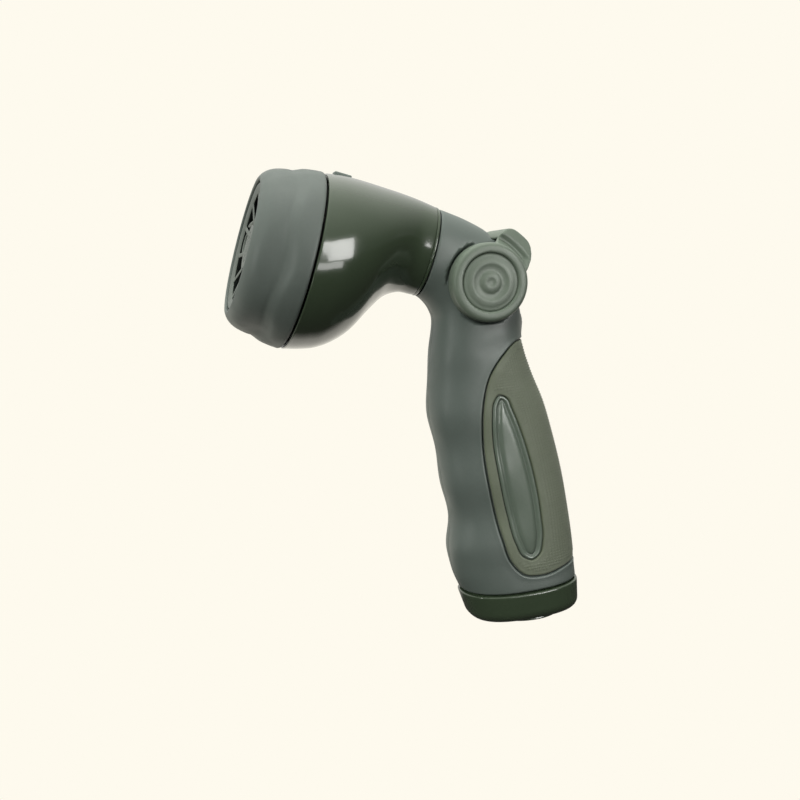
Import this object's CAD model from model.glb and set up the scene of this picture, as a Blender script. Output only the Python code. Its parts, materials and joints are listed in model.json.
"""Looks of the garden hose spray nozzle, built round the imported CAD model.

Shapes are worked out in millimetres in the model's own frame (origin at the hose inlet's mouth, +Z up the hose,
the spray leaves towards -X), and become metres where a mesh is made. "s" runs along the spray axis from the dial
seam, "r" square to it, and "turn" is the angle about it, from the top towards +Y.
"""
import json
from math import cos, pi, radians, sin, tau

import bmesh
import bpy
import numpy as np
from mathutils import Matrix, Vector
from mathutils.geometry import delaunay_2d_cdt


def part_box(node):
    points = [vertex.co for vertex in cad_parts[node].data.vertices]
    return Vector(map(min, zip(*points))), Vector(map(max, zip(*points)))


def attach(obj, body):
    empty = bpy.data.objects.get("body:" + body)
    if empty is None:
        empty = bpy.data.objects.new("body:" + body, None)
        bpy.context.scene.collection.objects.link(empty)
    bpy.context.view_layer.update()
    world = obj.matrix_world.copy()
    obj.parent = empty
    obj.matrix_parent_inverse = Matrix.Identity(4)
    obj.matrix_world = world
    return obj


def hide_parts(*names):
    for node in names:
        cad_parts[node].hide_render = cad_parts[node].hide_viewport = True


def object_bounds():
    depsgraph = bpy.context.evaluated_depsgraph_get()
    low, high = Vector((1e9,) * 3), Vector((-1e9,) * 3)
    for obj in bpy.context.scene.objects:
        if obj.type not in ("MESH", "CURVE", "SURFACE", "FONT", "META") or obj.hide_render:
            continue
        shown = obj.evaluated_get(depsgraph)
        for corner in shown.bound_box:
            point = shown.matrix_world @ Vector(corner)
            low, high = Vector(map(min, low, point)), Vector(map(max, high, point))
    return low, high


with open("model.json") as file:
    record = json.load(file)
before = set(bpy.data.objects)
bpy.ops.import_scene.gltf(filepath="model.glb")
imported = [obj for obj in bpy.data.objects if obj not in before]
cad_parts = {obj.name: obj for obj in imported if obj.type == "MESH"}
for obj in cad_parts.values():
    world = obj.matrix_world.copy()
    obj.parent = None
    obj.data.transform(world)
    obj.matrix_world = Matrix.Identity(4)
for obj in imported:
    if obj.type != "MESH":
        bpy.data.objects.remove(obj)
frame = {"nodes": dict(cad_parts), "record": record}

CAD_LOW, CAD_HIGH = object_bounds()
MM = 0.001
HANDLE, DIAL, LEVER = "handle_assembly", "dial_assembly", "lever_assembly"

# -------- driving dimensions, shared with the CAD model
SPRAY_TILT = radians(20.0)
SEAM = np.array([-80.78, 0.0, 156.93])
SPRAY = np.array([-cos(SPRAY_TILT), 0.0, sin(SPRAY_TILT)])
UP_SPRAY = np.array([sin(SPRAY_TILT), 0.0, cos(SPRAY_TILT)])
PIVOT_X, PIVOT_Z = -9.6, 141.7

# handle skin: front x, front z, back x, back z, half width, power of the superellipse
HANDLE_STATIONS = np.array([
    (-27.0, 13.5, 23.2, 13.5, 17.2, 2.5),
    (-29.6, 21.5, 23.0, 21.5, 17.0, 2.5),
    (-30.9, 30.0, 22.8, 30.0, 16.8, 2.5),
    (-29.4, 46.0, 21.7, 46.0, 16.3, 2.5),
    (-31.2, 60.0, 20.3, 60.0, 16.0, 2.5),
    (-32.5, 75.0, 17.8, 75.0, 15.8, 2.5),
    (-34.3, 90.0, 14.6, 90.0, 15.6, 2.5),
    (-33.1, 105.0, 9.6, 105.0, 15.3, 2.5),
    (-31.0, 117.0, 7.2, 116.5, 15.0, 2.5),
    (-29.0, 127.0, 8.6, 127.0, 14.8, 2.5),
    (-29.9, 132.2, 9.5, 146.0, 14.7, 2.45),
    (-32.0, 135.8, -1.8, 160.4, 14.6, 2.35),
    (-33.9, 137.8, -13.0, 167.9, 14.5, 2.2),
    (-35.2, 138.8, -22.9, 172.7, 14.5, 2.1),
])
GRIP_BORDER = [
    (7.4, 117.3), (2.0, 116.6), (-5.0, 111.8), (-11.3, 104.3), (-14.9, 94.5), (-16.8, 76.0), (-15.2, 54.0),
    (-12.2, 36.2), (-9.2, 26.0), (-4.0, 20.2), (3.8, 18.9), (14.7, 20.4), (23.4, 22.0),
]
INLAY_BORDER = [
    (-8.6, 96.0), (-11.0, 93.4), (-12.2, 87.6), (-12.7, 77.0), (-11.6, 62.2), (-9.4, 46.0), (-6.9, 33.6),
    (-4.4, 28.2), (-0.4, 26.0), (3.6, 28.0), (5.6, 33.6), (5.8, 43.6), (4.2, 61.0), (0.9, 77.0), (-2.8, 89.0),
    (-5.2, 94.6),
]
HALF_GIRTH = 62.0
SEAM_WAVE, SEAM_WAVE_FADE = 0.45, 7.0
# finger swells: depth, pitch and a crest's height; where they fade, as (start, length), by girth share and by height
FINGER_WAVE, FINGER_PITCH, FINGER_CREST_Z = 0.42, 29.0, 90.0
FINGER_SHARES = ((0.45, 0.2), (1.0, -0.15))
FINGER_HEIGHTS = ((22.0, 12.0), (122.0, -14.0))
# the lever's bridge sweeps past at these angles (degrees about the pivot), so the skin keeps inside SWEEP_R there
SWEEP_R = 18.0
SWEEP_ANGLES = (-53.5, -39.5, 72.0, 84.0)
SWEEP_FREE_R = 31.0
RECESS_RADIUS = 16.6
RECESS_Y = 12.8

# housing skin: s, top r, bottom r, half width
HOUSING_STATIONS = np.array([
    (-0.4, 35.4, -35.4, 35.4), (-7.0, 36.4, -33.9, 34.6), (-13.0, 36.7, -31.8, 33.2), (-18.5, 36.7, -28.2, 31.0),
    (-24.0, 36.6, -22.4, 28.0), (-29.0, 36.5, -13.8, 24.4), (-34.0, 36.3, -6.4, 20.6), (-40.0, 35.9, -2.3, 16.8),
    (-47.3, 35.0, -1.5, 14.6),
])
# inset and s of the rounded front lip, insets of the rings that close the neck end, and s of the rings between
HOUSING_LIP = [(1.3, -0.55), (0.55, -0.42), (0.2, -0.5), (0.05, -0.75)]
HOUSING_END = (0.25, 2.0)
HOUSING_S = np.concatenate([np.arange(-1.2, -46.8, -0.8), [-46.8, -47.15]])
HOUSING_WALL = 1.2
BEAD_BACK, BEAD_FRONT = -48.6, -47.3
BEAD_R, BEAD_HALF_HEIGHT, BEAD_HALF_WIDTH = 16.7, 18.3, 14.8
# how far the bead stands out, how deep its middle lies, how much of its length it fills, and its steps round
BEAD_PROUD, BEAD_SUNK, BEAD_FILL, BEAD_STEPS = 0.45, 0.4, 0.92, 16

# bezel: r, s of its outer line, from the seam to the rim, and its scallops
BEZEL_LINE = np.array([
    (34.6, 0.4), (35.2, 0.5), (35.5, 1.0), (35.5, 2.6), (35.2, 5.0), (34.6, 7.6), (33.6, 9.8), (33.0, 11.6),
    (32.9, 13.6), (32.5, 16.2), (31.9, 18.4), (30.9, 20.6), (29.6, 22.3), (28.2, 23.4), (27.0, 23.95),
    (26.5, 23.9), (26.2, 23.5), (26.2, 22.6),
])
BEZEL_INNER = np.array([
    (26.2, 22.6), (27.0, 21.8), (29.0, 20.0), (31.4, 14.0), (32.4, 6.0), (33.2, 0.6), (34.6, 0.4),
])
BEZEL_SPACING, BEZEL_INNER_SPACING = 0.45, 3.0
SCALLOPS = 6
SCALLOP_PHASE = radians(-7.0)
SCALLOP_DEPTH, SCALLOP_S, SCALLOP_REACH = 0.75, 15.0, 4.6
STEP_WAVE, STEP_S, STEP_REACH = 2.08, 9.4, 3.6

# bottom cap: front x, back x, half width and height of its foot and of its top
CAP_FOOT = (-24.0, 23.3, 17.0, 0.0)
CAP_TOP = (-27.9, 23.9, 17.9, 13.1)


# -------- numbers
TINY = 1e-6
FINE_POINTS = 2000  # points on a smooth line before they are spread evenly
CHUNK = 2000  # points measured against a line at a time
ALONG_Y = np.array([0, 1, 0])


def turns(count):
    """Evenly spread angles, once round."""
    return np.linspace(0, tau, count + 1)[:-1]


def faded(value, start, length):
    """0 at start and 1 a length past it; with a negative length it fades the other way."""
    return np.clip((value - start) / length, 0, 1)


def smooth_columns(knots, columns, at):
    """Columns of numbers, smoothly interpolated between their knots."""
    knots, columns, at = np.asarray(knots, float), np.asarray(columns, float), np.asarray(at, float)
    slopes = np.gradient(columns, knots, axis=0)
    i = np.clip(np.searchsorted(knots, at, side="right") - 1, 0, len(knots) - 2)
    step = (knots[i + 1] - knots[i])[..., None]
    x = (at - knots[i])[..., None] / step
    return (
        (1 + 2 * x) * (1 - x) ** 2 * columns[i] + x * (1 - x) ** 2 * step * slopes[i]
        + x * x * (3 - 2 * x) * columns[i + 1] + x * x * (x - 1) * step * slopes[i + 1]
    )


def lengths_along(points):
    return np.concatenate([[0.0], np.cumsum(np.linalg.norm(np.diff(points, axis=0), axis=1))])


def evenly(points, spacing):
    """The same line with its points spread evenly, about spacing apart."""
    along = lengths_along(points)
    count = max(2, int(round(along[-1] / spacing)) + 1)
    at = np.linspace(0, along[-1], count)
    return np.stack([np.interp(at, along, points[:, k]) for k in range(points.shape[1])], 1)


def smooth_line(points, spacing, closed=False):
    """A smooth line through a few points, closed or open, as evenly spaced points."""
    points = np.asarray(points, float)
    if closed:
        points = np.concatenate([points[-3:], points, points[:4]])
    along = lengths_along(points)
    first, last = (along[3], along[-4]) if closed else (along[0], along[-1])
    fine = smooth_columns(along, points, np.linspace(first, last, FINE_POINTS))
    line = evenly(fine, spacing)
    return line[:-1] if closed else line


def inside_polygon(points, polygon):
    """True for each point inside a closed polygon."""
    a, b = polygon, np.roll(polygon, -1, 0)
    x, y = points[:, 0][:, None], points[:, 1][:, None]
    crosses = (a[:, 1] > y) != (b[:, 1] > y)
    with np.errstate(divide="ignore", invalid="ignore"):
        hit = a[:, 0] + (y - a[:, 1]) * (b[:, 0] - a[:, 0]) / (b[:, 1] - a[:, 1])
    return (crosses & (x < hit)).sum(1) % 2 == 1


def distance_to(points, line, closed=True):
    """Distance from each point to a line of short pieces."""
    a = line if closed else line[:-1]
    b = np.roll(line, -1, 0) if closed else line[1:]
    span = b - a
    size = np.maximum((span ** 2).sum(1), 1e-12)
    found = []
    for part in np.array_split(points, max(1, len(points) // CHUNK)):
        out = part[:, None, :] - a[None]
        t = np.clip((out * span).sum(2) / size, 0, 1)
        found.append(np.sqrt(((out - t[..., None] * span) ** 2).sum(2).min(1)))
    return np.concatenate(found)


def inward_distance(points, polygon):
    """Distance to a closed polygon, positive inside it."""
    return np.where(inside_polygon(points, polygon), 1, -1) * distance_to(points, polygon)


def moved_inward(polygon, distance):
    """The polygon with each point moved inward by a distance."""
    ahead = np.roll(polygon, -1, 0) - np.roll(polygon, 1, 0)
    normal = np.stack([-ahead[:, 1], ahead[:, 0]], 1) / np.linalg.norm(ahead, axis=1)[:, None]
    area = (polygon[:, 0] * np.roll(polygon[:, 1], -1) - np.roll(polygon[:, 0], -1) * polygon[:, 1]).sum()
    return polygon + normal * distance * np.sign(area)


# -------- meshes
def mesh_object(name, points, faces, body, replaced, material):
    """A piece made of points in millimetres and faces, riding on a CAD body."""
    mesh = bpy.data.meshes.new(name)
    mesh.from_pydata([tuple(p) for p in np.asarray(points) * MM], [], [tuple(map(int, f)) for f in faces])
    mesh.validate()
    mesh.polygons.foreach_set("use_smooth", [True] * len(mesh.polygons))
    piece = bpy.data.objects.new(name, mesh)
    bpy.context.scene.collection.objects.link(piece)
    mesh.materials.append(material)
    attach(piece, body)
    if replaced:
        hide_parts(*replaced)
    return piece


def face_outward(points, faces):
    """The faces, turned round if most of them look towards the middle."""
    points, faces = np.asarray(points), np.asarray(faces)
    a, b, c = (points[faces[:, k]] for k in range(3))
    outward = (np.cross(b - a, c - a) * ((a + b + c) / 3 - points.mean(0))).sum()
    return faces if outward > 0 else faces[:, ::-1]


def on_side(points, faces, side):
    """The points and faces as worked out for the near side (-Y), or mirrored to the other one."""
    return (points * (1, -1, 1), faces[:, ::-1]) if side > 0 else (points, faces)


def thicken(piece, thickness):
    """Gives an open skin a wall, so that it is a closed solid."""
    wall = piece.modifiers.new("wall", "SOLIDIFY")
    wall.thickness = thickness * MM
    wall.offset = -1
    return piece


def rings_mesh(rings, closed_ends=(False, False)):
    """Points and quads that join rings of equally many points; a closed end gets a fan to its middle."""
    count = len(rings[0])
    points = np.concatenate(rings)
    faces = []
    for k in range(len(rings) - 1):
        for i in range(count):
            j = (i + 1) % count
            faces.append((k * count + i, k * count + j, (k + 1) * count + j, (k + 1) * count + i))
    for end, ring in ((0, rings[0]), (1, rings[-1])):
        if closed_ends[end]:
            middle = len(points)
            points = np.concatenate([points, ring.mean(0)[None]])
            start = 0 if end == 0 else (len(rings) - 1) * count
            for i in range(count):
                j = (i + 1) % count
                pair = (start + j, start + i) if end == 0 else (start + i, start + j)
                faces.append((*pair, middle))
    return points, faces


def outward_rings(rings, closed_ends=(False, False)):
    """rings_mesh with its faces turned outward."""
    points, faces = rings_mesh(rings, closed_ends)
    corner = points[[f[:3] for f in faces]]
    normal = np.cross(corner[:, 1] - corner[:, 0], corner[:, 2] - corner[:, 0])
    if (normal * (corner.mean(1) - points.mean(0))).sum() < 0:
        faces = [f[::-1] for f in faces]
    return points, faces


LATTICE_RISE = 0.866  # between rows, as a share of the spacing
MERGE_REACH = 1e-5
INSIDE_ONLY = 1


def lattice(low, high, spacing):
    """Points of a triangular lattice over a rectangle."""
    rise = spacing * LATTICE_RISE
    rows = np.arange(low[1], high[1] + rise, rise)
    points = [
        (x, y) for k, y in enumerate(rows)
        for x in np.arange(low[0] + (k % 2) * spacing / 2, high[0] + spacing, spacing)
    ]
    return np.array(points)


def patch(outline, lines, fill, clearance):
    """Triangles over a flat outline that follow lines inside it, with fill points kept off every line."""
    keep = inside_polygon(fill, outline) & (distance_to(fill, outline) > clearance)
    for line, closed in lines:
        keep &= distance_to(fill, line, closed) > clearance
    fill = fill[keep]
    points, edges = [outline], []
    count = len(outline)
    edges += [(i, (i + 1) % count) for i in range(count)]
    for line, closed in lines:
        size = len(line)
        edges += [(count + i, count + (i + 1) % size) for i in range(size if closed else size - 1)]
        points.append(line)
        count += size
    flat = [Vector(p) for p in np.concatenate([*points, fill])]
    made = delaunay_2d_cdt(flat, edges, [], INSIDE_ONLY, MERGE_REACH)
    return np.array([tuple(v) for v in made[0]]), np.array([tuple(f) for f in made[2]])


# -------- handle skin
HANDLE_MIDDLES = (HANDLE_STATIONS[:, 0:2] + HANDLE_STATIONS[:, 2:4]) / 2
HANDLE_V = lengths_along(HANDLE_MIDDLES)
HANDLE_TOP_V = HANDLE_V[-1]


def handle_points(flat, depth=0.0):
    """Points on the handle's skin, sunk by depth.

    flat holds the girth from the back line (positive on -Y) and the height along the handle.
    """
    u, v = flat[:, 0], flat[:, 1]

    def on_skin(u, v):
        row = smooth_columns(HANDLE_V, HANDLE_STATIONS, v)
        angle = u / HALF_GIRTH * pi
        power = row[:, 5]
        reach = (abs(np.cos(angle)) ** power + abs(np.sin(angle)) ** power) ** (-1 / power)
        back, side = reach * np.cos(angle), reach * np.sin(angle)
        middle = (row[:, 0:2] + row[:, 2:4]) / 2
        half = (row[:, 2:4] - row[:, 0:2]) / 2
        x, z = (middle + half * back[:, None]).T
        return np.stack([x, -row[:, 4] * side, z], 1)

    depth = depth - finger_wave(u, v)
    step = 0.05
    along = on_skin(u, v + step) - on_skin(u, v - step)
    round_it = on_skin(u + step, v) - on_skin(u - step, v)
    normal = np.cross(round_it, along)
    normal /= np.linalg.norm(normal, axis=1)[:, None]
    points = on_skin(u, v)
    middle = smooth_columns(HANDLE_V, HANDLE_MIDDLES, v)
    outward = points - np.stack([middle[:, 0], np.zeros(len(u)), middle[:, 1]], 1)
    normal *= np.sign((normal * outward).sum(1))[:, None]
    points = points - normal * np.broadcast_to(depth, len(u))[:, None]
    points[:, 2] += SEAM_WAVE * np.cos(2 * u / HALF_GIRTH * pi) * np.clip(1 - v / SEAM_WAVE_FADE, 0, 1) ** 2
    return clear_of_lever(points)


def finger_wave(u, v):
    """How far the skin swells between the fingers, on the front part of each side."""
    z = smooth_columns(HANDLE_V, HANDLE_MIDDLES, v)[:, 1]
    share = abs(u) / HALF_GIRTH
    front = faded(share, *FINGER_SHARES[0]) * faded(share, *FINGER_SHARES[1])
    height = faded(z, *FINGER_HEIGHTS[0]) * faded(z, *FINGER_HEIGHTS[1])
    return FINGER_WAVE * front * height * np.cos(tau * (z - FINGER_CREST_Z) / FINGER_PITCH)


def clear_of_lever(points):
    """Points drawn in towards the pivot where the lever's bridge sweeps past."""
    x, z = points[:, 0] - PIVOT_X, points[:, 2] - PIVOT_Z
    r, angle = np.hypot(x, z), np.degrees(np.arctan2(z, x))
    limit = np.interp(angle, SWEEP_ANGLES, (SWEEP_FREE_R, SWEEP_R, SWEEP_R, SWEEP_FREE_R))
    share = np.minimum(1, limit / np.maximum(r, TINY))
    share = np.where((angle > SWEEP_ANGLES[0]) & (angle < SWEEP_ANGLES[-1]), share, 1.0)
    points = points.copy()
    points[:, 0], points[:, 2] = PIVOT_X + x * share, PIVOT_Z + z * share
    return points


HALVINGS = 40


def flat_of_side(side):
    """Where points of the side view (x, z) lie on the flattened skin."""
    side = np.asarray(side, float)
    low, high = np.zeros(len(side)), np.full(len(side), HANDLE_TOP_V)
    for _ in range(HALVINGS):
        v = (low + high) / 2
        row = smooth_columns(HANDLE_V, HANDLE_STATIONS, v)
        front, span = row[:, 0:2], row[:, 2:4] - row[:, 0:2]
        out = side - front
        above = span[:, 0] * out[:, 1] - span[:, 1] * out[:, 0] > 0
        low, high = np.where(above, v, low), np.where(above, high, v)
    row = smooth_columns(HANDLE_V, HANDLE_STATIONS, v)
    half = (row[:, 2:4] - row[:, 0:2]) / 2
    out = side - (row[:, 0:2] + row[:, 2:4]) / 2
    back = np.clip((out * half).sum(1) / (half ** 2).sum(1), -1, 1)
    power = row[:, 5]
    across = (1 - abs(back) ** power) ** (1 / power)
    return np.stack([np.arctan2(across, back) / pi * HALF_GIRTH, v], 1)


BORDER_STEP = 0.4
GRIP_STEP, INLAY_STEP = 0.7, 0.6
BACK_LINE_GAP = 0.6
RECESS_POINTS = 180


def grip_outline():
    """The grip's border on the flattened skin, symmetric about the back line."""
    half = flat_of_side(smooth_line(GRIP_BORDER, BORDER_STEP))
    half = half[half[:, 0] > BACK_LINE_GAP]
    half = np.concatenate([[(0.0, half[0, 1])], half, [(0.0, half[-1, 1])]])
    other = half[1:-1][::-1] * (-1, 1)
    return evenly_closed(np.concatenate([half, other]), GRIP_STEP)


def inlay_outline():
    return evenly_closed(flat_of_side(smooth_line(INLAY_BORDER, BORDER_STEP, closed=True)), INLAY_STEP)


def evenly_closed(polygon, spacing):
    return evenly(np.concatenate([polygon, polygon[:1]]), spacing)[:-1]


GRIP_OUTLINE = grip_outline()
INLAY_OUTLINE = inlay_outline()
RECESS_OUTLINE = flat_of_side(
    [(PIVOT_X + RECESS_RADIUS * cos(a), PIVOT_Z + RECESS_RADIUS * sin(a)) for a in turns(RECESS_POINTS)]
)


def halves_of(polygon):
    """The parts of a closed line with u above 0, each ending exactly on the back line."""
    parts, part = [], []
    for a, b in zip(polygon, np.roll(polygon, -1, 0)):
        if a[0] > TINY:
            part.append(a)
        if (a[0] > TINY) != (b[0] > TINY):
            t = a[0] / (a[0] - b[0])
            part.append(np.array([0.0, a[1] + t * (b[1] - a[1])]))
            if b[0] <= TINY:
                parts.append(part)
                part = []
    if part:
        parts[0] = part + parts[0]
    return [(np.array(p), False) for p in parts]


# -------- handle pieces
# (distance inside the border, depth below the skin)
GRIP_SEAT = [(-1.9, 0.0), (-1.2, -0.12), (-0.75, -0.14), (-0.5, 0.0), (-0.4, 0.25), (-0.36, 1.5), (0.6, 1.7)]
GRIP_EDGE = [(0.0, 1.4), (0.03, 0.5), (0.12, 0.25), (0.3, 0.08), (0.6, 0.0)]
INLAY_SEAT = [(-0.6, 0.0), (-0.25, 0.1), (-0.06, 0.35), (0.0, 2.0), (0.6, 2.2)]
INLAY_EDGE = [
    (0.0, 2.0), (0.04, 0.75), (0.2, 0.25), (0.5, 0.02), (0.95, 0.0), (1.35, 0.3), (1.65, 0.72), (1.95, 0.78),
    (2.2, 0.5), (2.5, 0.1), (2.9, -0.12), (3.5, -0.2),
]
PARTING_EDGE = [(0.0, 0.3), (0.07, 0.12), (0.22, 0.02), (0.5, 0.0)]
END_EDGE = [(0.0, 0.5), (0.12, 0.2), (0.35, 0.04), (0.8, 0.0)]
SKIN_SPACING = 1.5
SKIN_CLEARANCE = 0.4  # share of the spacing
PAST_END = 0.1
RECESS_SLOPE = 0.12
SHELL_WALL, SOFT_WALL = 1.0, 0.8


def follow(profile, distance):
    """Depth at a distance from a border, after a profile."""
    return np.interp(distance, [p[0] for p in profile], [p[1] for p in profile])


def handle_half(name, side, node, material):
    """One half of the handle's shell, with the grip's seat and the lever's recess sunk into it."""
    corners = np.array([(0, 0), (HALF_GIRTH, 0), (HALF_GIRTH, HANDLE_TOP_V), (0, HANDLE_TOP_V)], float)
    outline = evenly_closed(corners, SKIN_SPACING)
    lines = []
    for distance, _ in GRIP_SEAT:
        lines += halves_of(moved_inward(GRIP_OUTLINE, distance))
    lines += [(moved_inward(RECESS_OUTLINE, d), True) for d in (0.0, RECESS_SLOPE)]
    rows = np.arange(0, HANDLE_TOP_V + PAST_END, SKIN_SPACING)
    for distance, _ in PARTING_EDGE[1:]:
        for u in (distance, HALF_GIRTH - distance):
            lines.append((np.stack([np.full(len(rows), u), rows.clip(0, HANDLE_TOP_V)], 1), False))
    columns = np.linspace(0, HALF_GIRTH, int(HALF_GIRTH / SKIN_SPACING))
    for distance, _ in END_EDGE[1:]:
        for v in (distance, HANDLE_TOP_V - distance):
            lines.append((np.stack([columns, np.full(len(columns), v)], 1), False))
    fill = lattice((0, 0), (HALF_GIRTH, HANDLE_TOP_V), SKIN_SPACING)
    flat, faces = patch(outline, lines, fill, SKIN_SPACING * SKIN_CLEARANCE)
    depth = follow(GRIP_SEAT, inward_distance(flat, GRIP_OUTLINE))
    for edge, gap in ((PARTING_EDGE, flat[:, 0]), (PARTING_EDGE, HALF_GIRTH - flat[:, 0]),
                      (END_EDGE, flat[:, 1]), (END_EDGE, HANDLE_TOP_V - flat[:, 1])):
        depth = depth + follow(edge, gap)
    points = handle_points(flat, depth)
    sunk = inward_distance(flat, RECESS_OUTLINE) > RECESS_SLOPE / 2
    points[sunk, 1] = np.maximum(points[sunk, 1], -RECESS_Y)
    points[:, 1] = np.minimum(points[:, 1], 0.0)
    points, faces = on_side(points, face_outward(points, faces), side)
    return thicken(mesh_object(name, points, faces, HANDLE, [node], material), SHELL_WALL)


GRIP_GAP = 0.25
BUMP_PITCH, BUMP_HEIGHT = 1.16, 0.34
BUMP_SAMPLES = 3  # per pitch
BUMP_MARGIN = (1.6, 1.0)  # from an edge: bare strip, then the fade's length
BUMP_CLEARANCE = 0.5  # share of the sample step


def back_grip(material):
    """The soft grip wrapped round the handle's back, with its grid of small bumps and the inlays' seats."""
    outline = moved_inward(GRIP_OUTLINE, GRIP_GAP)
    inlays = [INLAY_OUTLINE, INLAY_OUTLINE * (-1, 1)]
    lines = [(moved_inward(outline, d), True) for d, _ in GRIP_EDGE[1:]]
    lines += [(moved_inward(inlay, d), True) for inlay in inlays for d, _ in INLAY_SEAT]
    step = BUMP_PITCH / BUMP_SAMPLES
    low, high = GRIP_OUTLINE.min(0), GRIP_OUTLINE.max(0)
    columns = np.arange(-round(high[0] / step) * step, high[0], step)
    rows = np.arange(round(low[1] / step) * step, high[1], step)
    fill = np.stack(np.meshgrid(columns, rows), -1).reshape(-1, 2)
    flat, faces = patch(outline, lines, fill, step * BUMP_CLEARANCE)
    edge = inward_distance(flat, outline)
    depth = follow(GRIP_EDGE, edge)
    clear = edge
    for inlay in inlays:
        gap = inward_distance(flat, inlay)
        depth = depth + follow(INLAY_SEAT, gap)
        clear = np.minimum(clear, -gap)
    on_column, on_row = (0.5 + 0.5 * np.cos(tau * flat[:, k] / BUMP_PITCH) for k in range(2))
    depth = depth - BUMP_HEIGHT * faded(clear, *BUMP_MARGIN) * on_column * on_row
    points = handle_points(flat, depth)
    faces = face_outward(points, faces)
    piece = mesh_object("back_grip_cover", points, faces, HANDLE, ["back_grip"], material)
    return thicken(piece, SOFT_WALL)


INLAY_GAP = 0.22
INLAY_SPACING, INLAY_CLEARANCE = 0.9, 0.4


def inlay(name, side, node, material):
    """A glossy inlay with a groove round its raised plate."""
    outline = moved_inward(INLAY_OUTLINE, INLAY_GAP)
    lines = [(moved_inward(outline, d), True) for d, _ in INLAY_EDGE[1:]]
    fill = lattice(outline.min(0), outline.max(0), INLAY_SPACING)
    flat, faces = patch(outline, lines, fill, INLAY_CLEARANCE)
    depth = follow(INLAY_EDGE, inward_distance(flat, outline))
    points = handle_points(flat, depth)
    points, faces = on_side(points, face_outward(points, faces), side)
    return thicken(mesh_object(name, points, faces, HANDLE, [node], material), SOFT_WALL)


# -------- head pieces
TURNS = 240


def spray_points(s, r, turn):
    """Points from s along the spray axis, r out from it and the turn about it."""
    s, r, turn = np.broadcast_arrays(s, r, turn)
    out = UP_SPRAY * (r * np.cos(turn))[:, None] + ALONG_Y * (r * np.sin(turn))[:, None]
    return SEAM + SPRAY * s[:, None] + out


def bezel(material):
    """The turning bezel: a rounded rear band, a wavy step, six shallow scallops and a thin rim."""
    turn = turns(TURNS * 2)
    valley = 0.5 - 0.5 * np.cos(SCALLOPS * (turn - SCALLOP_PHASE))
    rings = []
    for r, s in smooth_line(BEZEL_LINE, BEZEL_SPACING):
        step = STEP_WAVE * np.exp(-((s - STEP_S) / STEP_REACH) ** 2)
        scallop = SCALLOP_DEPTH * np.exp(-((s - SCALLOP_S) / SCALLOP_REACH) ** 2)
        rings.append(spray_points(s + step * (0.5 - valley), r - scallop * valley, turn))
    for r, s in evenly(BEZEL_INNER, BEZEL_INNER_SPACING)[1:-1]:
        rings.append(spray_points(s, r, turn))
    rings.append(rings[0])
    points, faces = outward_rings(rings)
    return welded(mesh_object("bezel_ring", points, faces, DIAL, ["bezel_grip"], material))


FACE_R, FACE_S = 26.6, 23.35
FACE_WALL = 0.45
FACE_SPACING, FACE_CLEARANCE = 1.4, 0.3
FACE_RIM = [(0.0, 1.7), (1.45, 1.6), (1.58, 0.9), (1.72, 0.12), (2.0, 0.0)]
WINDOWS = 12
WINDOW_PHASE = radians(-7.0)
WINDOW_R = (10.6, 22.0)
WINDOW_POINTS, WINDOW_SPACING = 12, 0.5
SPOKE = 1.9
SHOWER_OPENING = 9.0
DISH_R = 25.2
DISH = [(0.0, 0.0), (3.2, 1.2), (14.6, 3.0), (30.0, 3.0)]
WINDOW_EDGE = [(0.0, 0.3), (0.12, 0.08), (0.3, 0.0)]
WINDOW_EDGE_REACH = 0.32


def window_outline(turn):
    """One window of the dial's face, between two spokes."""
    corners = []
    for r, way in ((WINDOW_R[1], 1), (WINDOW_R[0], -1)):
        half = way * (pi / WINDOWS - SPOKE / 2 / r)
        corners += [(r * sin(turn + a), r * cos(turn + a)) for a in np.linspace(-half, half, WINDOW_POINTS)]
    return evenly_closed(np.array(corners), WINDOW_SPACING)


def dial_face(material):
    """The grey plate in the bezel's mouth, with its ring of windows."""
    circle = np.stack([np.sin(turns(TURNS)), np.cos(turns(TURNS))], 1)
    windows = [window_outline(WINDOW_PHASE + k * tau / WINDOWS) for k in range(WINDOWS)]
    holes = windows + [circle[::4] * SHOWER_OPENING]
    outline = circle * FACE_R
    lines = [(circle * (FACE_R - d), True) for d, _ in FACE_RIM[1:]]
    lines += [(moved_inward(hole, -d), True) for hole in holes for d, _ in WINDOW_EDGE]
    fill = lattice((-FACE_R, -FACE_R), (FACE_R, FACE_R), FACE_SPACING)
    flat, faces = patch(outline, lines, fill, FACE_CLEARANCE)
    radius = np.linalg.norm(flat, axis=1)
    depth = follow(FACE_RIM, FACE_R - radius) + follow(DISH, DISH_R - radius)
    middle = flat[faces].mean(1)
    open_face = np.zeros(len(faces), bool)
    for hole in holes:
        gap = -inward_distance(flat, hole)
        depth = depth + np.where(abs(gap) < WINDOW_EDGE_REACH, follow(WINDOW_EDGE, np.maximum(0, gap)), 0)
        open_face |= inside_polygon(middle, hole)
    faces = faces[~open_face]
    used = np.unique(faces)
    place = np.zeros(len(flat), int)
    place[used] = np.arange(len(used))
    flat, depth, faces = flat[used], depth[used], place[faces]
    points = spray_points(FACE_S - depth, np.linalg.norm(flat, axis=1), np.arctan2(flat[:, 0], flat[:, 1]))
    a, b, c = (points[faces[:, k]] for k in range(3))
    if (np.cross(b - a, c - a) @ SPRAY).sum() < 0:
        faces = faces[:, ::-1]
    piece = mesh_object("dial_face", points, faces, DIAL, ["face_plate"], material)
    return thicken(piece, FACE_WALL)


PATTERN_R, PATTERN_BACK = 16.4, 4.0
PATTERN_EDGE = 0.2
PATTERN_POINTS = 48
RING_ANGLE, BAR_ANGLE = radians(83.0), radians(53.0)
BAR_SLANT = radians(38.0)
OVAL_OUTER, OVAL_INNER = (4.6, 3.0), (3.7, 2.1)
BAR_HALF = (3.9, 0.85)


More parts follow.
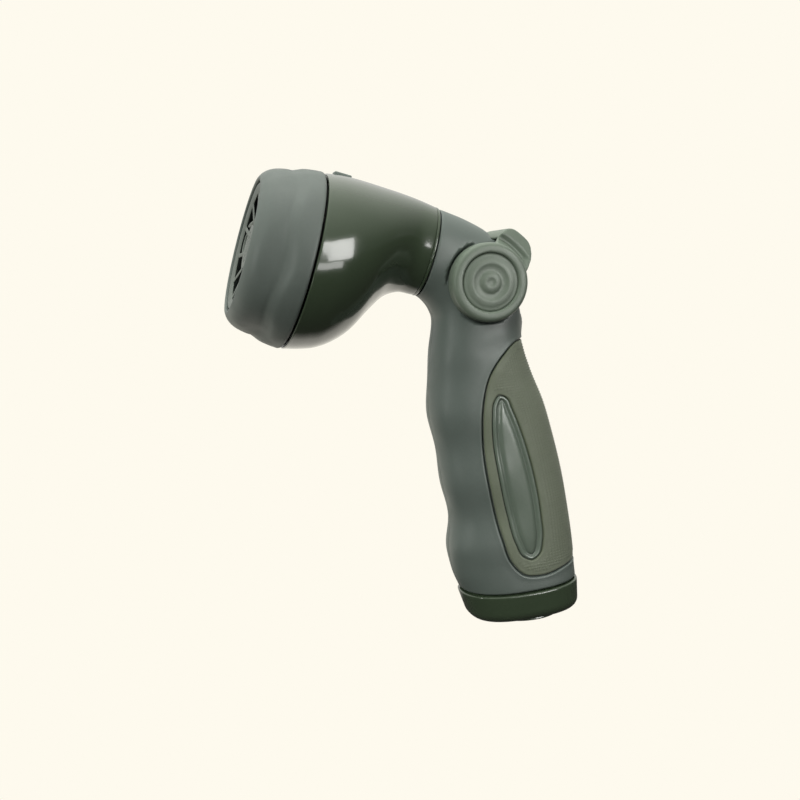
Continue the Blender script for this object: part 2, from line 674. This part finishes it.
def pattern_piece(name, node, turn, slant, outer, inner, material):
    """A spray pattern's raised nozzle in its window: an oval ring, or an oval bar when it has no inner size."""
    a = turns(PATTERN_POINTS)
    sizes = [(outer, 0.0, PATTERN_BACK), (outer, 0.0, PATTERN_EDGE), (outer, PATTERN_EDGE, 0.0)]
    if inner:
        sizes += [(inner, -PATTERN_EDGE, 0.0), (inner, 0.0, PATTERN_EDGE), (inner, 0.0, PATTERN_BACK)]
    rings = []
    for (length, width), inset, sunk in sizes:
        u, v = (length - inset) * np.cos(a), (width - inset) * np.sin(a)
        tangent = u * cos(slant) - v * sin(slant)
        radial = PATTERN_R + u * sin(slant) + v * cos(slant)
        r, angle = np.hypot(radial, tangent), turn + np.arctan2(tangent, radial)
        rings.append(spray_points(FACE_S - follow(DISH, DISH_R - r) - sunk, r, angle))
    if inner:
        rings.append(rings[0])
    points, faces = outward_rings(rings, (not inner, not inner))
    return welded(mesh_object(name, points, faces, DIAL, [node], material))


def welded(piece, reach=0.002):
    """Joins points that lie on each other."""
    work = bmesh.new()
    work.from_mesh(piece.data)
    bmesh.ops.remove_doubles(work, verts=work.verts, dist=reach * MM)
    bmesh.ops.recalc_face_normals(work, faces=work.faces)
    work.to_mesh(piece.data)
    work.free()
    return piece


def housing(material):
    """The glossy housing between the dial seam and the neck, with a rounded front lip."""
    first, last = HOUSING_STATIONS[0], HOUSING_STATIONS[-1]
    from_neck = HOUSING_STATIONS[::-1]
    rings = [housing_ring(first, s, inset) for inset, s in HOUSING_LIP]
    rings += [housing_ring(smooth_columns(from_neck[:, 0], from_neck, s), s, 0.0) for s in HOUSING_S]
    rings += [housing_ring(last, last[0], inset) for inset in HOUSING_END]
    points, faces = outward_rings(rings)
    piece = mesh_object("head_shell", points, faces, HANDLE, ["head_housing"], material)
    return thicken(piece, HOUSING_WALL)


def housing_ring(row, s, inset):
    """One oval of the housing at s, drawn in by inset from a row of its stations."""
    return oval_ring(s, row[1] - inset, row[2] + inset, row[3] - inset)


def oval_ring(s, top, bottom, half):
    """An ellipse square to the spray axis."""
    turn = turns(TURNS)
    middle, height = (top + bottom) / 2, (top - bottom) / 2
    up = middle + height * np.cos(turn)
    return SEAM + SPRAY * s + UP_SPRAY * up[:, None] + ALONG_Y * (half * np.sin(turn))[:, None]


def neck_bead(material):
    """The thin glossy bead between the housing and the handle."""
    middle, half = (BEAD_BACK + BEAD_FRONT) / 2, (BEAD_FRONT - BEAD_BACK) / 2
    rings = []
    for a in np.linspace(0, tau, BEAD_STEPS + 1):
        proud = BEAD_PROUD * cos(a) - BEAD_SUNK
        s, height = middle + half * BEAD_FILL * sin(a), BEAD_HALF_HEIGHT + proud
        rings.append(oval_ring(s, BEAD_R + height, BEAD_R - height, BEAD_HALF_WIDTH + proud))
    points, faces = outward_rings(rings)
    return welded(mesh_object("neck_bead", points, faces, HANDLE, ["neck_bead_ring"], material))


# -------- bottom cap
CAP_POWER = 2.5
CAP_WAVE = SEAM_WAVE
CAP_OPENING, CAP_OPENING_EDGE = 15.0, 0.4
CAP_OPENING_DEPTH = 3.0
CAP_ROUND, CAP_FLAT = 4.2, 0.6
CAP_LIP = 0.75
CAP_SIDE = (0.8, 2.0)  # how far its rings stay from the rounded foot and from the top
# height above the lip and inset of the rings that turn inward under the handle
CAP_INNER = ((0.0, 1.6), (-0.2, 2.2), (CAP_WAVE + 1.6, 2.5), (CAP_WAVE + 1.6, 4.0))
CAP_INNER_FOOT = (1.0, 5.6)
CAP_RINGS = (9, 10, 6)  # in the rounded foot, the side and the lip


def cap_ring(height, inset, wave, angle):
    """One oval of the cap at a height, drawn in by inset, its height waved by wave."""
    share = height / CAP_TOP[3]
    front, back, half, _ = (a + (b - a) * share for a, b in zip(CAP_FOOT, CAP_TOP))
    middle, length, half = (front + back) / 2, (back - front) / 2 - inset, half - inset
    reach = (abs(np.cos(angle)) ** CAP_POWER + abs(np.sin(angle)) ** CAP_POWER) ** (-1 / CAP_POWER)
    z = height + wave * np.cos(2 * angle)
    return np.stack([middle + length * reach * np.cos(angle), half * reach * np.sin(angle), z], 1)


def bottom_cap(material):
    """The glossy cap under the handle, with a softly waved upper lip and a round opening for the hose."""
    angle = turns(TURNS)
    low, _ = (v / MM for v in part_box("bottom_cap"))
    foot, top = low[2], CAP_TOP[3]
    lip_z = top - CAP_WAVE
    rings = [
        np.stack([r * np.cos(angle), r * np.sin(angle), np.full(TURNS, z)], 1)
        for r, z in ((CAP_OPENING, foot + CAP_OPENING_DEPTH), (CAP_OPENING, foot + CAP_OPENING_EDGE),
                     (CAP_OPENING + CAP_OPENING_EDGE, foot))
    ]
    rings.append(cap_ring(foot, CAP_ROUND + CAP_FLAT, 0, angle))
    for a in np.linspace(0, pi / 2, CAP_RINGS[0]):
        rings.append(cap_ring(foot + CAP_ROUND * (1 - cos(a)), CAP_ROUND * (1 - sin(a)), 0, angle))
    for z in np.linspace(foot + CAP_ROUND + CAP_SIDE[0], top - CAP_SIDE[1], CAP_RINGS[1]):
        rings.append(cap_ring(z, 0, CAP_WAVE * (z - foot) / (top - foot), angle))
    for a in np.linspace(0, pi / 2, CAP_RINGS[2]):
        rings.append(cap_ring(lip_z - CAP_LIP + CAP_LIP * sin(a), CAP_LIP * (1 - cos(a)), CAP_WAVE, angle))
    for height, inset in CAP_INNER:
        rings.append(cap_ring(lip_z + height, inset, CAP_WAVE, angle))
    rings.append(cap_ring(foot + CAP_ROUND + CAP_INNER_FOOT[0], CAP_INNER_FOOT[1], 0, angle))
    rings.append(rings[0])
    points, faces = outward_rings(rings)
    return welded(mesh_object("cap_shell", points, faces, HANDLE, ["bottom_cap"], material))


THREAD_PITCH, THREAD_TURNS = 2.209, 4.2
THREAD_START_Z = 0.9
THREAD_STEPS = 72  # per turn
THREAD_RIDGE = [(12.4, -0.62), (12.02, -0.16), (12.02, 0.16), (12.4, 0.62)]


def hose_thread(material):
    """A low helical ridge in the hose inlet's bore."""
    rings = []
    for a in np.linspace(0, THREAD_TURNS * tau, int(THREAD_TURNS * THREAD_STEPS)):
        z = THREAD_START_Z + THREAD_PITCH * a / tau
        rings.append(np.array([(r * cos(a), r * sin(a), z + up) for r, up in THREAD_RIDGE]))
    points, faces = outward_rings(rings, (True, True))
    return mesh_object("hose_thread", points, faces, HANDLE, [], material)


# -------- lever
MELT_VOXEL = 0.42
MELT_ROUNDS, MELT_STRENGTH = 8, 0.5


def softened(name, node, body, material):
    """A CAD node's shape with every edge melted round, as moulded plastic has them."""
    source = frame["nodes"][node]
    mesh = source.data.copy()
    mesh.name = name
    piece = bpy.data.objects.new(name, mesh)
    bpy.context.scene.collection.objects.link(piece)
    remesh = piece.modifiers.new("remesh", "REMESH")
    remesh.mode = "VOXEL"
    remesh.voxel_size = MELT_VOXEL * MM
    remesh.use_smooth_shade = True
    relax = piece.modifiers.new("relax", "SMOOTH")
    relax.factor = MELT_STRENGTH
    relax.iterations = MELT_ROUNDS
    graph = bpy.context.evaluated_depsgraph_get()
    made = bpy.data.meshes.new_from_object(piece.evaluated_get(graph))
    piece.modifiers.clear()
    piece.data = made
    made.materials.clear()
    made.materials.append(material)
    made.polygons.foreach_set("use_smooth", [True] * len(made.polygons))
    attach(piece, body)
    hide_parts(node)
    return piece


KNOB_LINE = [
    (0.0, 20.1), (0.9, 20.15), (2.1, 20.4), (3.4, 20.2), (4.8, 19.75), (6.2, 19.9), (7.6, 20.25), (9.0, 20.1),
    (10.2, 19.8), (10.9, 19.7), (11.35, 19.5), (11.5, 19.2), (11.5, 18.2),
]
KNOB_SPACING = 0.28


def knob_cap(name, side, node, material):
    """The round cap over a lever disc, with its water-drop ripples."""
    turn = turns(TURNS)
    rings = [
        np.stack([PIVOT_X + r * np.cos(turn), np.full(TURNS, side * y), PIVOT_Z + r * np.sin(turn)], 1)
        for r, y in smooth_line(KNOB_LINE, KNOB_SPACING)[1:]
    ]
    points, faces = outward_rings(rings, (True, True))
    return mesh_object(name, points, faces, LEVER, [node], material)


# radii and angles in degrees about the pivot; SCOOP_Y and CREASE_R are where they fade in, as (start, length)
SCOOP_R = (16.0, 18.2, 21.6)
SCOOP_ANGLES = (12.0, 26.0, 66.0, 84.0)
SCOOP_DEPTH = 2.2
SCOOP_Y = (11.0, 3.0)
CREASE_ANGLE, CREASE_WIDTH, CREASE_DEPTH = 66.0, 7.0, 0.9
CREASE_R = (20.0, 3.0)


def scooped(piece):
    """The lever with a hollow between each disc and the thumb tab, and a shallow dip across the tab's top."""
    data = piece.data
    flat = np.empty(len(data.vertices) * 3)
    data.vertices.foreach_get("co", flat)
    points = flat.reshape(-1, 3) / MM
    x, z = points[:, 0] - PIVOT_X, points[:, 2] - PIVOT_Z
    r, angle = np.hypot(x, z), np.degrees(np.arctan2(z, x))
    across = np.interp(r, SCOOP_R, (0, 1, 0))
    across = across * across * (3 - 2 * across)
    along = np.interp(angle, SCOOP_ANGLES, (0, 1, 1, 0))
    outer = faded(abs(points[:, 1]), *SCOOP_Y)
    points[:, 1] -= np.sign(points[:, 1]) * SCOOP_DEPTH * across * along * outer
    dip = CREASE_DEPTH * np.exp(-((angle - CREASE_ANGLE) / CREASE_WIDTH) ** 2) * faded(r, *CREASE_R)
    points[:, 0] -= dip * x / r
    points[:, 2] -= dip * z / r
    data.vertices.foreach_set("co", (points * MM).ravel())
    data.update()
    return piece


# -------- materials
def held_range(tree, value, seen, given):
    """A value carried from the range seen to the range given, and held at its ends."""
    node = tree.nodes.new("ShaderNodeMapRange")
    for key, number in zip(("From Min", "From Max", "To Min", "To Max"), (*seen, *given)):
        node.inputs[key].default_value = number
    tree.links.new(value, node.inputs["Value"])
    return node.outputs["Result"]


class Nodes:
    """Short-hand for a material's nodes."""

    def __init__(self, name):
        self.material = bpy.data.materials.new(name)
        self.material.use_nodes = True
        self.tree = self.material.node_tree
        self.shader = self.tree.nodes["Principled BSDF"]
        self.place = self.tree.nodes.new("ShaderNodeTexCoord").outputs["Object"]

    def add(self, kind):
        return self.tree.nodes.new(kind)

    def link(self, out, into):
        self.tree.links.new(out, into)

    def noise(self, scale, detail=3.0):
        node = self.add("ShaderNodeTexNoise")
        node.inputs["Scale"].default_value = scale
        node.inputs["Detail"].default_value = detail
        self.link(self.place, node.inputs["Vector"])
        return node.outputs["Fac"]

    def ramp(self, fac, stops):
        node = self.add("ShaderNodeValToRGB")
        ramp = node.color_ramp
        while len(ramp.elements) < len(stops):
            ramp.elements.new(0.5)
        for element, (at, colour) in zip(ramp.elements, stops):
            element.position = at
            element.color = colour
        self.link(fac, node.inputs["Fac"])
        return node.outputs["Color"]

    def mix(self, fac, a, b):
        node = self.add("ShaderNodeMix")
        node.data_type = "RGBA"
        for value, socket in ((fac, node.inputs["Factor"]), (a, node.inputs[6]), (b, node.inputs[7])):
            if isinstance(value, bpy.types.NodeSocket):
                self.link(value, socket)
            else:
                socket.default_value = value
        return node.outputs[2]

    def span(self, fac, low, high, start=0.0, end=1.0):
        return held_range(self.tree, fac, (start, end), (low, high))

    def bump(self, height, strength, distance, under=None):
        node = self.add("ShaderNodeBump")
        node.inputs["Strength"].default_value = strength
        node.inputs["Distance"].default_value = distance * MM
        self.link(height, node.inputs["Height"])
        if under is not None:
            self.link(under, node.inputs["Normal"])
        return node.outputs["Normal"]


    def edges(self):
        return self.add("ShaderNodeNewGeometry").outputs["Pointiness"]


def shade(colour, factor):
    return (*(min(1.0, c * factor) for c in colour), 1.0)


# noise scales, per metre
BROAD, MOTTLE, UNEVEN, GRAIN, SWELL = 45.0, 900.0, 160.0, 3200.0, 70.0
RUBBER_BROAD, DUST, RUBBER_UNEVEN, PORES = 60.0, 1400.0, 300.0, 4200.0
TARNISH, MARKS = 220.0, 900.0
# shares of a material's own colour
MOTTLE_SHADE, RUBBED_SHADE = 0.93, 1.35
RUBBER_LOW, RUBBER_HIGH, DUST_SHADE, CREVICE_SHADE = 0.92, 1.08, 1.22, 0.62
TARNISH_SHADE = 0.66
COAT_ROUGHNESS = 0.06
SHEEN, SHEEN_ROUGHNESS = 0.12, 0.5


def moulded(name, colour, roughness, grain=0.05, variation=0.06, wear=0.35, coat=0.0):
    """Moulded plastic: mottled colour, fine grain, uneven gloss, and paler rubbed edges."""
    n = Nodes(name)
    broad = n.noise(BROAD, 4.0)
    mottle = n.noise(MOTTLE)
    base = n.mix(broad, shade(colour, 1 - variation), shade(colour, 1 + variation))
    base = n.mix(n.span(mottle, 0.0, 0.5, 0.35, 0.75), base, shade(colour, MOTTLE_SHADE))
    rubbed = n.span(n.edges(), 0.0, wear, 0.52, 0.60)
    base = n.mix(rubbed, base, shade(colour, RUBBED_SHADE))
    n.link(base, n.shader.inputs["Base Color"])
    uneven = n.span(n.noise(UNEVEN, 5.0), roughness * 0.86, roughness * 1.14, 0.3, 0.7)
    n.link(uneven, n.shader.inputs["Roughness"])
    fine = n.bump(n.noise(GRAIN, 2.0), grain, 0.05)
    swell = n.bump(n.noise(SWELL, 1.0), 0.03, 0.4, fine)
    n.link(swell, n.shader.inputs["Normal"])
    n.shader.inputs["Coat Weight"].default_value = coat
    n.shader.inputs["Coat Roughness"].default_value = COAT_ROUGHNESS
    return n.material


def soft_rubber(name, colour, roughness):
    """Rubber: dusty colour variation, darker hollows, fine pores and a faint sheen."""
    n = Nodes(name)
    base = n.mix(n.noise(RUBBER_BROAD, 4.0), shade(colour, RUBBER_LOW), shade(colour, RUBBER_HIGH))
    dust = n.ramp(n.noise(DUST, 4.0), [(0.45, (0, 0, 0, 1)), (0.75, (0.5, 0.5, 0.5, 1))])
    base = n.mix(dust, base, shade(colour, DUST_SHADE))
    hollow = n.span(n.edges(), 0.45, 0.0, 0.40, 0.50)
    base = n.mix(hollow, base, shade(colour, CREVICE_SHADE))
    n.link(base, n.shader.inputs["Base Color"])
    uneven = n.span(n.noise(RUBBER_UNEVEN), roughness * 0.9, roughness * 1.1, 0.3, 0.7)
    n.link(uneven, n.shader.inputs["Roughness"])
    n.link(n.bump(n.noise(PORES), 0.18, 0.04), n.shader.inputs["Normal"])
    n.shader.inputs["Sheen Weight"].default_value = SHEEN
    n.shader.inputs["Sheen Roughness"].default_value = SHEEN_ROUGHNESS
    return n.material


def metal(name, colour, roughness):
    """Turned or rolled metal with fine marks and a little tarnish."""
    n = Nodes(name)
    tarnish = n.noise(TARNISH, 5.0)
    base = n.mix(n.span(tarnish, 0.0, 0.7, 0.4, 0.8), shade(colour, 1.0), shade(colour, TARNISH_SHADE))
    n.link(base, n.shader.inputs["Base Color"])
    n.link(n.span(tarnish, roughness * 0.8, roughness * 1.5, 0.3, 0.8), n.shader.inputs["Roughness"])
    n.link(n.bump(n.noise(MARKS, 4.0), 0.1, 0.04), n.shader.inputs["Normal"])
    n.shader.inputs["Metallic"].default_value = 1.0
    return n.material


HANDLE_COLOUR = (0.104, 0.130, 0.114)
BEZEL_COLOUR = (0.100, 0.122, 0.107)
LEVER_COLOUR = (0.135, 0.172, 0.130)
GLOSS_COLOUR = (0.043, 0.064, 0.036)
GRIP_COLOUR = (0.122, 0.146, 0.095)
INLAY_COLOUR = (0.125, 0.160, 0.125)
FACE_COLOUR = (0.105, 0.125, 0.105)
BLACK_COLOUR, WHITE_COLOUR = (0.008, 0.009, 0.010), (0.62, 0.63, 0.60)
BRASS_COLOUR, STEEL_COLOUR = (0.62, 0.43, 0.17), (0.56, 0.57, 0.58)
SEAL_COLOUR = (0.012, 0.012, 0.013)


def make_materials():
    """One material for each of the record's material slots."""
    return {
        "handle_plastic": moulded("handle_plastic", HANDLE_COLOUR, 0.46, grain=0.06),
        "bezel_plastic": moulded("bezel_plastic", BEZEL_COLOUR, 0.50, grain=0.07),
        "gloss_green": moulded("gloss_green", GLOSS_COLOUR, 0.16, grain=0.0, variation=0.08, wear=0.1, coat=0.6),
        "lever_plastic": moulded("lever_plastic", LEVER_COLOUR, 0.46, grain=0.04),
        "grip_rubber": soft_rubber("grip_rubber", GRIP_COLOUR, 0.62),
        "inlay_gloss": moulded("inlay_gloss", INLAY_COLOUR, 0.22, grain=0.02, wear=0.2, coat=0.3),
        "face_plastic": moulded("face_plastic", FACE_COLOUR, 0.45, grain=0.05),
        "inner_black": moulded("inner_black", BLACK_COLOUR, 0.5, grain=0.05, wear=0.1),
        "inner_white": moulded("inner_white", WHITE_COLOUR, 0.42, grain=0.04, wear=0.0),
        "brass": metal("brass", BRASS_COLOUR, 0.28),
        "steel": metal("steel", STEEL_COLOUR, 0.26),
        "seal_rubber": soft_rubber("seal_rubber", SEAL_COLOUR, 0.7),
    }


def paint_cad_nodes(materials):
    """Each carried-over CAD node takes the material of its slot."""
    parts = {p["node"]: p.get("material_slot") or p.get("material") for p in frame["record"]["subparts"]}
    for node, piece in frame["nodes"].items():
        slot = parts.get(node)
        if slot in materials:
            for k in range(max(1, len(piece.material_slots))):
                if k < len(piece.material_slots):
                    piece.material_slots[k].material = materials[slot]
                else:
                    piece.data.materials.append(materials[slot])


# -------- stage, light and camera
BACKDROP = (0.991, 0.956, 0.855)
VIEW_TARGET = Vector((-46.05, 0.0, 97.11)) * MM
VIEW_BACK = Vector((-0.2383, -0.9623, 0.1314))
VIEW_UP = Vector((0.1223, 0.1045, 0.9871))
VIEW_DISTANCE = 0.4305
VIEW_LENS, VIEW_SENSOR = 47.25, 36.0
VIEW_CLIP = (0.01, 50.0)
STUDIO_COLOUR = (1.0, 0.985, 0.955)
LIGHT_COLOUR = (1.0, 0.99, 0.97)
# the studio's glow by direction, and the floor's by how far back it lies: (range seen, range given)
GLOW_BEHIND = ((-0.25, 0.45), (0.12, 0.60))
GLOW_ABOVE = ((0.1, 1.0), (0.0, 0.9))
GLOW_FLOOR = ((0.02, 0.07), (0.05, 0.95))
FLOOR_SIDE, FLOOR_GAP = 4.0, 0.0005


def camera_split(tree, seen, other, out):
    """Gives camera rays one shader and all other rays another."""
    pick = tree.nodes.new("ShaderNodeMixShader")
    ray = tree.nodes.new("ShaderNodeLightPath")
    tree.links.new(ray.outputs["Is Camera Ray"], pick.inputs["Fac"])
    tree.links.new(other.outputs[0], pick.inputs[1])
    tree.links.new(seen.outputs[0], pick.inputs[2])
    tree.links.new(pick.outputs[0], out.inputs["Surface"])


def backdrop_world():
    """The cream backdrop as the camera sees it, and a dimmer studio round the object for its light."""
    world = bpy.data.worlds.new("studio")
    bpy.context.scene.world = world
    world.use_nodes = True
    tree = world.node_tree
    seen = tree.nodes["Background"]
    seen.inputs["Color"].default_value = (*BACKDROP, 1)
    around = tree.nodes.new("ShaderNodeBackground")
    around.inputs["Color"].default_value = (*STUDIO_COLOUR, 1)
    direction = tree.nodes.new("ShaderNodeSeparateXYZ")
    tree.links.new(tree.nodes.new("ShaderNodeTexCoord").outputs["Generated"], direction.inputs[0])
    total = tree.nodes.new("ShaderNodeMath")
    total.operation = "ADD"
    tree.links.new(held_range(tree, direction.outputs["Y"], *GLOW_BEHIND), total.inputs[0])
    tree.links.new(held_range(tree, direction.outputs["Z"], *GLOW_ABOVE), total.inputs[1])
    tree.links.new(total.outputs[0], around.inputs["Strength"])
    camera_split(tree, seen, around, tree.nodes["World Output"])


def floor():
    """A pale floor in the backdrop's own cream, just under the cap."""
    mesh = bpy.data.meshes.new("floor")
    corners = [(FLOOR_SIDE * x, FLOOR_SIDE * y, 0) for x, y in ((-1, -1), (1, -1), (1, 1), (-1, 1))]
    mesh.from_pydata(corners, [], [(0, 1, 2, 3)])
    piece = bpy.data.objects.new("floor", mesh)
    bpy.context.scene.collection.objects.link(piece)
    piece.location = (0, 0, CAD_LOW[2] - FLOOR_GAP)
    material = bpy.data.materials.new("floor")
    material.use_nodes = True
    tree = material.node_tree
    tree.nodes.remove(tree.nodes["Principled BSDF"])
    seen, around = (tree.nodes.new("ShaderNodeEmission") for _ in range(2))
    for shader in (seen, around):
        shader.inputs["Color"].default_value = (*BACKDROP, 1)
    place = tree.nodes.new("ShaderNodeSeparateXYZ")
    tree.links.new(tree.nodes.new("ShaderNodeTexCoord").outputs["Object"], place.inputs[0])
    tree.links.new(held_range(tree, place.outputs["Y"], *GLOW_FLOOR), around.inputs["Strength"])
    camera_split(tree, seen, around, tree.nodes["Material Output"])
    mesh.materials.append(material)


def soft_box(name, place, aim, size, power, mirrored):
    """A rectangular studio light aimed at a point, in metres and watts; a mirrored one only shows in gloss."""
    light = bpy.data.lights.new(name, "AREA")
    light.shape = "RECTANGLE"
    light.size, light.size_y = size
    light.energy = power
    light.color = LIGHT_COLOUR
    lamp = bpy.data.objects.new(name, light)
    bpy.context.scene.collection.objects.link(lamp)
    lamp.location = place
    lamp.rotation_mode = "QUATERNION"
    lamp.rotation_quaternion = (Vector(aim) - Vector(place)).to_track_quat("-Z", "Y")
    lamp.visible_camera = False
    lamp.visible_diffuse = not mirrored
    lamp.visible_glossy = mirrored
    return lamp


# name, place, aim, size, power, mirrored
LIGHTS = [
    ("key", (-0.80, -0.92, 0.75), VIEW_TARGET, (0.56, 0.56), 11.0, False),
    ("top", (0.1, 0.0, 1.1), VIEW_TARGET, (0.9, 0.9), 8.0, False),
    ("fill", (0.9, -0.9, 0.3), VIEW_TARGET, (0.6, 0.6), 2.5, False),
    ("window", (0.66, -1.08, 0.30), VIEW_TARGET, (0.56, 0.56), 9.0, True),
    ("low_card", (0.13, -0.52, 0.045), (0.0, 0.0, 0.06), (0.26, 0.08), 0.35, True),
    ("left_strip", (-0.95, -0.55, 0.25), VIEW_TARGET, (0.10, 0.7), 2.0, True),
]


def camera():
    data = bpy.data.cameras.new("camera")
    data.lens = VIEW_LENS
    data.sensor_width = VIEW_SENSOR
    data.clip_start, data.clip_end = VIEW_CLIP
    eye = bpy.data.objects.new("camera", data)
    bpy.context.scene.collection.objects.link(eye)
    back = VIEW_BACK.normalized()
    right = VIEW_UP.cross(back).normalized()
    up = back.cross(right)
    facing = Matrix((right, up, back)).transposed().to_4x4()
    eye.matrix_world = Matrix.Translation(VIEW_TARGET + back * VIEW_DISTANCE) @ facing
    bpy.context.scene.camera = eye


def build():
    materials = make_materials()
    paint_cad_nodes(materials)
    handle_half("handle_shell_left", -1, "handle_left", materials["handle_plastic"])
    handle_half("handle_shell_right", 1, "handle_right", materials["handle_plastic"])
    back_grip(materials["grip_rubber"])
    inlay("inlay_plate_left", -1, "inlay_left", materials["inlay_gloss"])
    inlay("inlay_plate_right", 1, "inlay_right", materials["inlay_gloss"])
    bezel(materials["bezel_plastic"])
    face = materials["face_plastic"]
    dial_face(face)
    pattern_piece("oval_pattern", "cone_nozzle", RING_ANGLE, 0.0, OVAL_OUTER, OVAL_INNER, face)
    pattern_piece("bar_pattern", "flat_nozzle", BAR_ANGLE, BAR_SLANT, BAR_HALF, None, face)
    housing(materials["gloss_green"])
    neck_bead(materials["gloss_green"])
    bottom_cap(materials["gloss_green"])
    hose_thread(materials["brass"])
    scooped(softened("lever_body", "thumb_lever", LEVER, materials["lever_plastic"]))
    knob_cap("knob_disc_left", -1, "knob_cap_left", materials["lever_plastic"])
    knob_cap("knob_disc_right", 1, "knob_cap_right", materials["lever_plastic"])


build()
floor()
backdrop_world()
for row in LIGHTS:
    soft_box(*row)
camera()
bpy.context.scene.view_settings.view_transform = "Standard"
